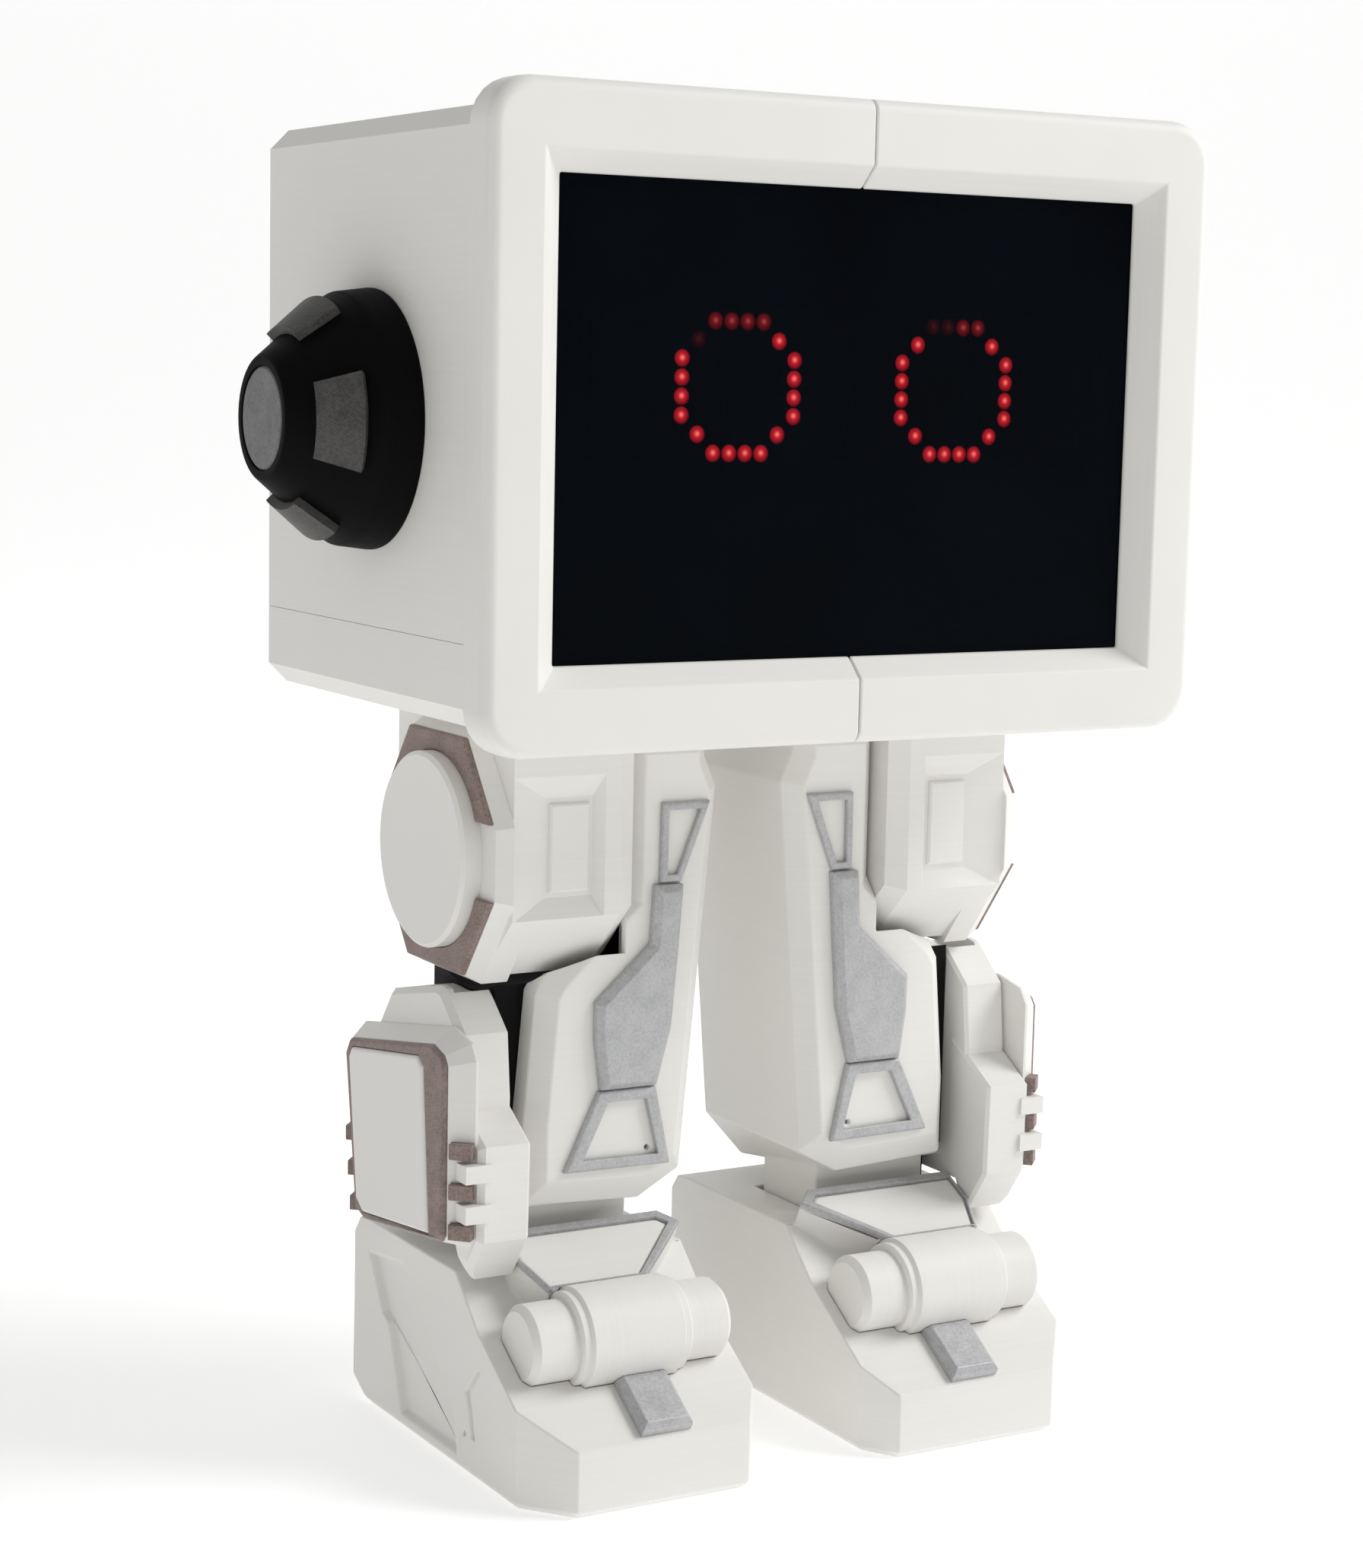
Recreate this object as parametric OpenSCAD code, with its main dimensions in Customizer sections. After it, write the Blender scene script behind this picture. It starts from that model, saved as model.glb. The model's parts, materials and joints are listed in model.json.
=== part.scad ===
// Two-legged humanoid robot kit: a box head with a dot-matrix face on two
// three-joint legs. Z is up, the robot faces -Y, and the origin is on the
// ground under the middle of the head. Left and right are the robot's own.

/* [Head] */
// Width of the head and of its bezel
head_w = 184; // [182:1:190]
// Depth of the head from the bezel's face to the back cover
head_d = 115; // [112:1:125]
// Height of the bezel
bezel_h = 138.8; // [136:0.4:144]
// Thickness of the bezel
bezel_t = 10; // [9:0.5:12]
// Corner radius of the bezel seen from the front
bezel_r = 10; // [7:1:13]
// Height of the shell behind the bezel
shell_h = 128; // [124:1:130]
// Chamfer along the shell's long edges
shell_chamfer = 4.5; // [2:0.5:6]
// Wall of the printed head shells
wall = 3; // [2:0.2:3.6]
// Height of the middle of the face above the ground
face_z = 238; // [237:0.5:240]
// Height of the seam between the hood and the tray below it
seam_z = 192; // [188:1:198]

/* [Face] */
// Width of the bezel's opening at its front edge
opening_w = 158.6; // [156:0.2:162]
// Height of the bezel's opening at its front edge
opening_h = 110.6; // [108:0.2:113]
// Depth from the bezel's face to the window
opening_depth = 5.5; // [4:0.5:6]
// Width of the window that shows
shown_w = 147.5; // [144:0.5:150]
// Height of the window that shows
shown_h = 101.2; // [98:0.2:104]
// Spacing of the lamps in the dot matrix
led_pitch = 4; // [3.8:0.1:4]
// Diameter of one lamp
led_d = 3; // [2:0.2:3.4]

/* [Ears] */
// Radius of the ear pod against the head
ear_r = 28.3; // [26:0.1:30]
// Radius of the ear pod's end face
ear_tip_r = 13.2; // [12:0.1:17]
// Length of the ear pod
ear_l = 25.4; // [22:0.2:28]

/* [Hips] */
// Distance of each leg's turning axis from the middle
hip_x = 50; // [49:0.5:50.5]
// Height of the hip's swinging axis
hip_z = 140; // [139.6:0.1:140.4]
// Radius of the round cap on the hip
cap_r = 22.4; // [20:0.2:22.6]
// Free radius around the hip axis that the leg keeps below the hip drum
swing_r = 33; // [32.8:0.1:33.4]

/* [Ankles] */
// Height of the ankle axis
ankle_z = 38; // [37.6:0.1:38.2]
// Radius of the ankle pin
ankle_pin_r = 3; // [2:0.5:3.5]

/* [Hidden] */

white = "#ECEAE2";
silver = "#B9B9B9";
taupe = "#857470";
black = "#1B1B1D";
grey = "#6E6E70";

$fn = 64;
eps = 0.01;
big = 400;
fit_gap = 0.3;

front_y = -head_d / 2;
shell_front_y = front_y + bezel_t;
back_y = head_d / 2;
cover_t = 3;
cover_y = back_y - 3.5;
shell_z0 = face_z - shell_h / 2;
side_x = head_w / 2 - 0.4;
window_y = front_y + opening_depth;
leg_y = 8.5;

// ---------------------------------------------------------------- outlines

// The unit vector along v
function unit(v) = v / norm(v);

// Corner b of a counter-clockwise outline, moved in by d from its two edges
function inset_corner(a, b, c, d) =
    let (n1 = unit([a.y - b.y, b.x - a.x]), n2 = unit([b.y - c.y, c.x - b.x]))
    b + d * (n1 + n2) / (1 + n1 * n2);

// A counter-clockwise outline with every edge moved in by d
function inset(outline, d) =
    let (n = len(outline))
    [for (i = [0:n - 1])
        inset_corner(outline[(i + n - 1) % n], outline[i], outline[(i + 1) % n], d)];

// A rectangle round the origin with rounded corners
function round_rect(w, h, r, steps = 6) =
    [for (corner = [0:3])
        let (cx = (corner == 0 || corner == 3 ? 1 : -1) * (w / 2 - r),
             cy = (corner < 2 ? 1 : -1) * (h / 2 - r))
        for (i = [0:steps])
            let (a = 90 * (corner + i / steps))
            [cx + r * cos(a), cy + r * sin(a)]];

// A plain rectangle from one corner to the other
function rect(x0, y0, x1, y1) = [[x0, y0], [x1, y0], [x1, y1], [x0, y1]];

// An outline moved by v
function shift(outline, v) = [for (p = outline) p + v];

// ---------------------------------------------------------------- builders

// A solid through a stack of outlines, each given as [outline, height]
module loft(rings)
{
    n = len(rings[0][0]);
    m = len(rings);
    points = [for (r = rings) for (p = r[0]) [p.x, p.y, r[1]]];
    sides = [for (k = [0:m - 2]) for (i = [0:n - 1])
        let (j = (i + 1) % n)
        [k * n + i, (k + 1) * n + i, (k + 1) * n + j, k * n + j]];
    bottom = [for (i = [0:n - 1]) i];
    top = [for (i = [0:n - 1]) m * n - 1 - i];
    polyhedron(points, concat([bottom], sides, [top]));
}

// A plate with a chamfer round its upper edge
module chamfered(outline, h, bevel)
{
    loft([[outline, 0], [outline, h - bevel], [inset(outline, bevel), h]]);
}

// A slab with a small bevel round its root and a larger one round its face
module bevelled(outline, h, bevel)
{
    loft([[inset(outline, 0.8), 0], [outline, 0.8], [outline, h - bevel],
          [inset(outline, bevel), h]]);
}

// A chamfered plate with its middle cut out, leaving a border
module border_plate(outline, inner, h, bevel)
{
    difference() {
        chamfered(outline, h, bevel);
        translate([0, 0, -1]) linear_extrude(h + 2) polygon(inner);
    }
}

// Outlines in x and z, standing at y and growing towards the front
module face_front(y)
{
    translate([0, y, 0]) rotate([90, 0, 0]) children();
}

// Outlines in y and z, standing at x and growing outwards
module face_side(x)
{
    translate([x, 0, 0]) rotate([90, 0, 90]) children();
}

// A cylinder along X round the point [y, z], from x0 to x1
module rod_x(x0, x1, at, r)
{
    translate([x0, at.x, at.y]) rotate([0, 90, 0]) cylinder(h = x1 - x0, r = r);
}

// Draws its child as modelled for the left side, or mirrored for the right
module on_side(side)
{
    mirror([side == "right" ? 1 : 0, 0, 0]) children();
}

// ---------------------------------------------------------------- head

peg_r = 2.5;
peg_places = [for (sx = [-1, 1], sz = [-1, 1]) [sx * 84, face_z + sz * 58]];

// The bezel before it is cut into halves
module bezel_whole()
{
    outline = shift(round_rect(head_w, bezel_h, bezel_r), [0, face_z]);
    soft = 3;
    throat = shift(rect(-shown_w / 2, -shown_h / 2, shown_w / 2, shown_h / 2), [0, face_z]);
    slope_x = (opening_w - shown_w) / 2 / (opening_depth - 0.6);
    slope_z = (opening_h - shown_h) / 2 / (opening_depth - 0.6);
    wide_w = shown_w + 2 * slope_x * (opening_depth + 0.4);
    wide_h = shown_h + 2 * slope_z * (opening_depth + 0.4);
    difference() {
        face_front(shell_front_y)
            loft(concat([[outline, 0]],
                [for (a = [0:18:90])
                    [inset(outline, soft * (1 - cos(a))), bezel_t - soft + soft * sin(a)]]));
        face_front(front_y + opening_depth - 0.6)
            loft([[throat, 0],
                  [shift(rect(-wide_w / 2, -wide_h / 2, wide_w / 2, wide_h / 2), [0, face_z]),
                   opening_depth + 0.4]]);
        face_front(shell_front_y + 1) linear_extrude(bezel_t + 2) polygon(throat);
        face_front(shell_front_y + 1)
            linear_extrude(shell_front_y + 1 - window_y)
            polygon(shift(round_rect(154, 108, 1), [0, face_z]));
        for (p = peg_places)
            translate([p.x, shell_front_y + 1, p.y]) rotate([90, 0, 0])
                cylinder(h = 6, r = peg_r + 0.1);
    }
}

seam_gap = 0.3;
module bezel_half(side)
{
    color(white) on_side(side) intersection() {
        bezel_whole();
        translate([seam_gap / 2, -big / 2, 0]) cube([big, big, big]);
    }
}

// The head's outline seen from the front, before hollowing
function shell_outline() =
    let (w = side_x, z0 = shell_z0, z1 = shell_z0 + shell_h, c = shell_chamfer)
    [[-w + c, z0], [w - c, z0], [w, z0 + c], [w, z1 - c], [w - c, z1], [-w + c, z1],
     [-w, z1 - c], [-w, z0 + c]];

module shell_tube()
{
    difference() {
        face_front(back_y)
            linear_extrude(back_y - shell_front_y) polygon(shell_outline());
        face_front(back_y + 1)
            linear_extrude(big) polygon(inset(shell_outline(), wall));
    }
}

ear_y = 0.5;
ear_z = face_z - 1;
ear_peg_r = 9;
module head_hood()
{
    color(white) difference() {
        intersection() {
            union() {
                shell_tube();
                for (p = peg_places) if (p.y > seam_z)
                    translate([p.x, shell_front_y + 8, p.y]) rotate([90, 0, 0])
                        cylinder(h = 12.5, r = peg_r);
                // lugs that carry the bezel pegs and the cover screws
                for (p = peg_places) if (p.y > seam_z)
                    translate([p.x - 5, shell_front_y, p.y - 4]) cube([10, 8, 8]);
                for (sx = [-1, 1])
                    translate([sx * 84 - 5, cover_y - cover_t - 10, face_z + 54])
                        cube([10, 10, 8]);
            }
            translate([-big / 2, -big / 2, seam_z]) cube([big, big, big]);
        }
        rod_x(-head_w, head_w, [ear_y, ear_z], ear_peg_r);
        for (sx = [-1, 1]) screw_hole([sx * 84, face_z + 56]);
    }
}

yaw_hole_r = 7.5;
module head_tray()
{
    color(white) difference() {
        union() {
            intersection() {
                union() {
                    shell_tube();
                    for (p = peg_places) if (p.y < seam_z) {
                        translate([p.x, shell_front_y + 8, p.y]) rotate([90, 0, 0])
                            cylinder(h = 12.5, r = peg_r);
                        translate([p.x - 5, shell_front_y, p.y - 4]) cube([10, 8, 8]);
                    }
                    for (sx = [-1, 1])
                        translate([sx * 84 - 5, cover_y - cover_t - 10, face_z - 62])
                            cube([10, 10, 8]);
                }
                translate([-big / 2, -big / 2, 0]) cube([big, big, seam_z - 0.1]);
            }
            // posts under the circuit board and the yaw servos
            for (x = [-31, 31], y = [4, 45])
                translate([x, y, shell_z0 + 1]) cylinder(h = board_z - shell_z0 - 1, r = 3);
            for (sx = [-1, 1], dy = servo_screws)
                translate([sx * hip_x - 5, leg_y + dy - 2, shell_z0 + 1])
                    cube([10, 4, yaw_face_z + 8 - shell_z0 - 1]);
        }
        for (sx = [-1, 1]) {
            translate([sx * hip_x, leg_y, shell_z0 - 1]) cylinder(h = wall + 4, r = yaw_hole_r);
            screw_hole([sx * 84, face_z - 56]);
        }
    }
}

// A screw's pilot hole in the lugs behind the back cover, at [x, z]
module screw_hole(at)
{
    translate([at.x, cover_y, at.y]) rotate([90, 0, 0]) cylinder(h = 12, r = 1.3);
}

switch_at = [58, 205];
switch_w = 13;
switch_hgt = 19;
port_at = [-58, 205];
module back_cover()
{
    color(white) difference() {
        face_front(cover_y)
            linear_extrude(cover_t) polygon(inset(shell_outline(), wall + fit_gap));
        for (sx = [-1, 1], sz = [-1, 1])
            translate([sx * 84, cover_y + 1, face_z + sz * 56]) rotate([90, 0, 0]) {
                cylinder(h = cover_t + 2, r = 1.7);
                translate([0, 0, -1]) cylinder(h = 3.6, r = 3.2);
            }
        // cooling slots
        for (i = [-4:4])
            translate([i * 8 - 1.5, cover_y - cover_t - 1, face_z + 8])
                cube([3, cover_t + 2, 30]);
        translate([switch_at.x - switch_w / 2, cover_y - cover_t - 1, switch_at.y - switch_hgt / 2])
            cube([switch_w, cover_t + 2, switch_hgt]);
        // charging socket
        translate([port_at.x, cover_y + 1, port_at.y]) rotate([90, 0, 0])
            cylinder(h = cover_t + 2, r = 4);
    }
}

module cover_screws()
{
    color("#2A2A2C") for (sx = [-1, 1], sz = [-1, 1])
        translate([sx * 84, cover_y - 1.6, face_z + sz * 56]) rotate([-90, 0, 0]) difference() {
            union() {
                cylinder(h = 1.5, r = 2.9);
                translate([0, 0, -9]) cylinder(h = 9, r = 1.3);
            }
            translate([0, 0, 0.5]) cylinder(h = 2, r = 1.15, $fn = 6);
        }
}

module screen_window()
{
    color("#0B0F16", 0.9) face_front(window_y + 2.5)
        linear_extrude(2.45) polygon(shift(round_rect(153.4, 107.4, 1), [0, face_z]));
}

matrix_z = face_z + 7.6;
block_w = 8 * led_pitch - 0.2;
module window_clamp()
{
    color(black) face_front(shell_front_y) linear_extrude(1.45) difference() {
        polygon(shift(round_rect(153.4, 107.4, 1), [0, face_z]));
        polygon(rect(-66, matrix_z - 18, 66, matrix_z + 18));
    }
}

block_y = window_y + 2.9;
block_d = 6;
module matrix_blocks()
{
    color("#15151A") for (i = [0:3])
        translate([(i - 1.5) * 8 * led_pitch - block_w / 2, block_y, matrix_z - block_w / 2])
            cube([block_w, block_d, block_w]);
}

module matrix_board()
{
    color("#123A2A") union() {
        translate([-72, block_y + block_d, matrix_z - 20]) cube([144, 1.6, 40]);
        // header pins block
        translate([-63, block_y + block_d + 1.6, matrix_z - 6]) cube([5, 6, 12]);
        translate([58, block_y + block_d + 1.6, matrix_z - 6]) cube([5, 6, 12]);
    }
}

// A round eye on eight by eight lamps: which lamps are lit
function lit(row, col) =
    let (r = min(row, 7 - row), c = min(col, 7 - col))
    (r == 0 && c >= 2) || (r == 1 && c == 1) || (r >= 2 && c == 0);
eye_x = 28;
module led_eyes()
{
    color("#FF2030") for (eye = [-1, 1], row = [0:7], col = [0:7])
        if (lit(row, col))
            translate([eye * eye_x + (col - 3.5) * led_pitch, block_y,
                matrix_z + (3.5 - row) * led_pitch])
            rotate([90, 0, 0]) cylinder(h = 0.3, r = led_d / 2, $fn = 20);
}

board_z = shell_z0 + 10;
module controller_board()
{
    color("#1D4F86") union() {
        translate([-34, -1, board_z]) cube([68, 51, 1.6]);
        translate([-30, 41, board_z + 1.6]) cube([12, 9.5, 10]);
        translate([-4, 12, board_z + 1.6]) cube([18, 18, 1.5]);
        for (y = [1, 46]) translate([-14, y, board_z + 1.6]) cube([40, 2.6, 8.5]);
        translate([20, 30, board_z + 1.6]) cylinder(h = 7, r = 3.2);
    }
}

module battery_pack()
{
    cell_r = 9.2;
    bay_z = shell_z0 + wall;
    color("#26262A") difference() {
        translate([-38.5, -42, bay_z]) cube([77, 40, 14]);
        translate([-36.5, -40.5, bay_z + 1.5]) cube([73, 37, 14]);
    }
    color("#2F7FB8") for (y = [-31.6, -12.4])
        rod_x(-35, 35, [y, bay_z + 1.6 + cell_r], cell_r);
}

// A metal-geared micro servo: shaft along +Z, output face at the origin
servo_screws = [-8.6, 19.2];
module servo()
{
    color("#2B2B30") difference() {
        union() {
            translate([0, 0, -4.1]) cylinder(h = 4.1, r = 5.9);
            translate([8.8, 0, -4.1]) cylinder(h = 2, r = 3);
            translate([-6.1, -6.1, -26.5]) cube([22.8, 12.2, 22.5]);
            translate([-10.8, -6.1, -10.5]) cube([32.2, 12.2, 2.5]);
        }
        translate([0, 0, -3.6]) cylinder(h = 4, r = stub_r + 0.05);
        for (x = servo_screws) translate([x, 0, -12]) cylinder(h = 6, r = 1.1);
    }
}

stub_r = 2.4;
// The disc that a servo turns, with the shaft end that sits in the servo
module horn(r)
{
    color("#E4E4E0") difference() {
        union() {
            translate([0, 0, 0.3]) cylinder(h = 2, r = r);
            translate([0, 0, -3]) cylinder(h = 3.3, r = stub_r);
        }
        for (a = [45:90:315]) rotate(a) translate([r - 2.4, 0, -1]) cylinder(h = 4, r = 0.8);
    }
}

yaw_face_z = shell_z0 + 3.2;
module yaw_servos()
{
    for (sx = [-1, 1])
        translate([sx * hip_x, leg_y, yaw_face_z]) rotate([180, 0, 90]) servo();
}

module switch_body()
{
    rim = 1.5;
    deep = 12;
    color(black) translate([switch_at.x, cover_y, switch_at.y]) difference() {
        union() {
            translate([-switch_w / 2 - 1, 0, -switch_hgt / 2 - 1])
                cube([switch_w + 2, rim, switch_hgt + 2]);
            translate([-switch_w / 2 + 0.1, -deep, -switch_hgt / 2 + 0.1])
                cube([switch_w - 0.2, deep, switch_hgt - 0.2]);
        }
        translate([-4.8, -deep + 2, -7.8]) cube([9.6, big, 15.6]);
        translate([0, rocker_dy, 0]) rotate([0, 90, 0])
            translate([0, 0, -5.6]) cylinder(h = 11.2, r = rocker_pin_r + 0.06, $fn = 32);
    }
}

rocker_dy = -4;
rocker_pin_r = 1;
rocker_tilt = 8;
// The rocker seen from its end, with the two faces that a finger presses
rocker_outline = [[-3.5, -6], [5.9, -6.5], [4.6, 0], [5.9, 6.5], [-3.5, 6]];
module power_rocker()
{
    color("#B81E22") translate([switch_at.x, cover_y + rocker_dy, switch_at.y])
        rotate([rocker_tilt, 0, 0]) union() {
            face_side(-4.4) linear_extrude(8.8) polygon(rocker_outline);
            rotate([0, 90, 0]) translate([0, 0, -5.5]) cylinder(h = 11, r = rocker_pin_r, $fn = 32);
        }
}

// ---------------------------------------------------------------- ears

ear_band = 8;
module ear_pod()
{
    color(black) rotate_extrude($fn = 96) polygon([
        [ear_peg_r - 2.4, -wall - 2], [ear_peg_r - 0.1, -wall - 2],
        [ear_peg_r - 0.1, ear_l - 4], [ear_tip_r - 2, ear_l - 4], [ear_r - 3.1, ear_band - 0.6],
        [ear_r - 2.4, 0], [ear_r, 0], [ear_r, 1], [ear_r - 0.9, ear_band],
        [ear_tip_r + 0.6, ear_l - 0.6], [ear_tip_r, ear_l], [disc_r, ear_l],
        [disc_r, ear_l - 1.4], [ear_peg_r - 2.4, ear_l - 1.4]]);
}

disc_r = 11.2;
ear_slope = atan2(ear_r - ear_tip_r - 1.5, ear_l - ear_band - 0.6);
module ear_pad()
{
    // a plate lying on the cone, given by distances along the axis
    a = ear_band + 3.4;
    b = ear_l - 5.7;
    t = 2.1;
    function cone_r(z) = ear_r - 0.9 - (z - ear_band) * tan(ear_slope);
    along = [sin(ear_slope), cos(ear_slope)];
    out = [cos(ear_slope), sin(ear_slope)];
    p0 = [cone_r(a), a];
    p1 = [cone_r(b), b];
    down = [-along.x, along.y];
    color(grey) rotate(-24) rotate_extrude(angle = 48, $fn = 96)
        polygon([p0, p0 + out * t, p0 + out * t + down * 0.1, p1 + out * t, p1]);
}

// Places its child at one ear, with Z pointing out of the head
module at_ear(side)
{
    on_side(side) translate([side_x, ear_y, ear_z]) rotate([0, 90, 0]) children();
}

module ear_pods()
{
    for (side = ["left", "right"]) at_ear(side) ear_pod();
}

module ear_pads()
{
    for (side = ["left", "right"], a = [0:90:270]) at_ear(side) rotate(a) ear_pad();
}

module ear_discs()
{
    color(grey) for (side = ["left", "right"]) at_ear(side)
        translate([0, 0, ear_l - 1.4]) loft([
            [round_rect(2 * disc_r - 0.3, 2 * disc_r - 0.3, disc_r - 0.15, 16), 0],
            [round_rect(2 * disc_r - 0.3, 2 * disc_r - 0.3, disc_r - 0.15, 16), 0.9],
            [round_rect(2 * disc_r - 1.3, 2 * disc_r - 1.3, disc_r - 0.65, 16), 1.3]]);
}

// ---------------------------------------------------------------- hips

hip = [leg_y, hip_z];
housing_x0 = 34.4;
housing_x1 = 66;
drum_x1 = 70;
top_gap = 0.6;
housing_top = shell_z0 - top_gap - hip_z;

// The housing's outline in y and z round the hip axis
housing_outline = [[-14.5, -27.5], [14.5, -27.5], [31, -9], [31, housing_top],
    [-22, housing_top], [-29.5, housing_top - 7], [-29.5, -12.5]];

// The eight-sided drum round the hip axis
drum_outline = [[-15.3, -29], [15.3, -29], [30.6, -8.7], [30.6, 8.7], [15.3, 29],
    [-15.3, 29], [-30.6, 8.7], [-30.6, -8.7]];

horn_r = 10;
module hip_housing()
{
    recess_outer = rect(43, 127, 66.2, 159.5);
    recess_inner = rect(45, 131.8, 57, 154.3);
    recess_deep = 2.6;
    color(white) difference() {
        union() {
            difference() {
                translate([0, hip.x, hip.y]) union() {
                    face_side(housing_x0)
                        loft([[inset(housing_outline, 3), 0], [housing_outline, 4.5],
                              [housing_outline, housing_x1 - housing_x0]]);
                    face_side(60)
                        loft([[drum_outline, 0], [drum_outline, 6.5],
                              [inset(drum_outline, 2), drum_x1 - 60]]);
                }
                // sunk panel on the front
                face_front(leg_y - 29.5 + recess_deep)
                    loft([[recess_inner, 0], [recess_outer, recess_deep + 0.02],
                          [recess_outer, recess_deep + 5]]);
            }
            face_front(leg_y - 29.5 + recess_deep)
                chamfered(rect(46, 133, 56, 153), 0.9, 0.5);
        }
        // room for the servo, round the two ledges that its tabs are screwed to
        difference() {
            translate([0, hip.x, hip.y]) face_side(37)
                linear_extrude(26) polygon(inset(housing_outline, 4));
            for (z = [hip_z - 26, hip_z + 17])
                translate([hip_face_x + 10.5, leg_y - 5, z]) cube([4, 10, 19.4]);
        }
        rod_x(60, drum_x1 + 1, hip, cap_spigot_r);
        rod_x(housing_x0 - 1, 40, hip, horn_r + 1);
        // seat of the yaw horn in the top
        translate([hip_x, leg_y, shell_z0 - top_gap - 2]) cylinder(h = 5, r = horn_r);
    }
}

module yaw_horn()
{
    color("#E4E4E0") translate([hip_x, leg_y, 0]) union() {
        translate([0, 0, shell_z0 - top_gap - 2]) cylinder(h = 2, r = horn_r);
        translate([0, 0, shell_z0 - top_gap - eps]) cylinder(h = 3.6, r = 5.5);
        translate([0, 0, yaw_face_z - 0.4]) cylinder(h = 3.4, r = stub_r);
    }
}

hip_face_x = 36.4;
module hip_servo()
{
    translate([hip_face_x, hip.x, hip.y]) rotate([0, -90, 0]) servo();
}

module hip_horn()
{
    translate([hip_face_x, hip.x, hip.y]) rotate([0, -90, 0]) horn(horn_r);
}

module hip_ring()
{
    color(taupe) intersection() {
        translate([0, hip.x, hip.y]) face_side(drum_x1) difference() {
            chamfered(inset(drum_outline, 2.1), 1.3, 0.4);
            translate([0, 0, -1]) cylinder(h = 4, r = cap_r + 0.2);
        }
        // two arcs, open at the front and at the back
        for (z = [hip_z + 9, hip_z - 8.2 - 40])
            translate([0, -100, z]) cube([200, 200, 40]);
    }
}

cap_spigot_r = 18;
module hip_cap()
{
    color(white) rotate([0, 90, 0]) translate([-hip_z, leg_y, 0]) rotate_extrude($fn = 96)
        polygon([[0, 66], [cap_spigot_r, 66], [cap_spigot_r, drum_x1], [cap_r, drum_x1],
                 [cap_r, 74.2], [cap_r - 0.9, 75], [0, 75]]);
}

// ---------------------------------------------------------------- legs

ankle = [leg_y, ankle_z];
shin_front = -15.5;
shin_back = 33;
shell = 2.4;
column_x1 = 62.1;
arm_x0 = hip_face_x - 2.3 - 4;
arm_x1 = hip_face_x - 2.3;
servo_face_x = 57.8;
module leg_frame()
{
    color(black) difference() {
        union() {
            // arm up to the hip horn
            face_side(arm_x0) linear_extrude(arm_x1 - arm_x0) hull() {
                translate(hip) circle(r = 13);
                translate([-5, 96]) square([28, 4]);
            }
            // column below the hip drum
            translate([arm_x0, -5, 60]) cube([column_x1 - arm_x0, 32, 50]);
            // stem that carries the shin cover's front
            translate([36, shin_front + shell, 72]) cube([12, 10, 20]);
            // cradle round the ankle servo and the idler ear
            translate([28.6, -0.4, 45]) cube([29, 17.8, 16]);
            face_side(28.6) linear_extrude(2.4) hull() {
                translate(ankle) circle(r = 7);
                translate([-0.4, 46]) square([17.8, 6]);
            }
        }
        rod_x(arm_x1, big, hip, swing_r);
        // hollow column, open at the back
        translate([36, -3, 64]) cube([20.5, 40, 36]);
        // seat of the ankle servo
        translate([31.2, leg_y - 6.1, 20]) cube([30, 12.2, 39.5]);
        rod_x(0, 40, ankle, ankle_pin_r + 0.05);
        rod_x(0, 34.2, hip, 1.6);
        for (a = [45:90:315]) translate([0, (horn_r - 2.4) * cos(a), (horn_r - 2.4) * sin(a)])
            rod_x(0, 34.2, hip, 0.8);
    }
}

module ankle_servo()
{
    translate([servo_face_x, ankle.x, ankle.y]) rotate([0, 90, 0]) rotate(180) servo();
}

// The shin cover seen from the front, in x and z
shin_outline = [[27.3, 58], [57.6, 59.4], [57.6, 78.5], [55, 108.6], [52.5, 113],
    [33.8, 130], [33.8, 176], [13.5, 176], [11.8, 160.7], [8.8, 154], [16.5, 64]];

// The same outline at the back, where the bottom comes lower
shin_rear = [for (p = shin_outline) p.y < 62 ? p - [0, 6] : p];

// The flat front face, inside a bevel that is wider at the bottom
shin_face = [for (p = inset(shin_outline, 4)) p.y < 70 ? p + [0, 2.4] : p];

// A skirt under the cover, in x and z, that hides the ankle from the front
skirt_outline = rect(26.5, 42.5, 58, 59.7);

module shin_cover()
{
    depth = shin_back - shin_front;
    color(white) face_front(-0.7) linear_extrude(2.9) polygon(skirt_outline);
    color(white) translate([36, -9, 58.3]) cube([21.5, 8.3, 1.4]);
    // wall beside the ankle, reaching into the opening in the foot
    color(white) translate([26.5, -3.6, 42.5]) cube([1.8, 24, 17]);
    color(white) difference() {
        face_front(shin_back)
            loft([[shin_rear, 0], [shin_outline, depth - 4.5], [shin_face, depth]]);
        // hollow behind the front face, open towards the frame
        face_front(shin_back - shell)
            loft([[inset(shin_rear, shell), 0], [inset(shin_outline, shell), depth - shell - 5],
                  [inset(shin_outline, shell + 2.6), depth - 2 * shell]]);
        translate([arm_x0, -5, 0]) cube([60, 60, 200]);
        // room for the frame's ear round the ankle
        translate([28.3, -5, 0]) cube([5, 60, 61.3]);
        // screw hole inside the lower frame
        translate([27.6, -10, 71]) rotate([90, 0, 0]) cylinder(h = 10, r = 0.6);
        // round clearance under the hip drum
        rod_x(arm_x1 + 0.2, big, hip, swing_r);
        // round top, free of the head as the leg swings
        difference() {
            translate([0, -50, hip_z]) cube([60, 120, 60]);
            rod_x(-1, 70, hip, swing_r);
        }
    }
}

plate_outline = [[26.4, 86], [40.8, 86], [42.4, 97.6], [42.5, 106.4], [28.4, 119],
    [27.6, 132.6], [20.2, 132.5], [21.4, 116], [22.8, 99.4]];
module shin_plate()
{
    color(silver) face_front(shin_front) chamfered(plate_outline, 3.2, 1.5);
}

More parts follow.
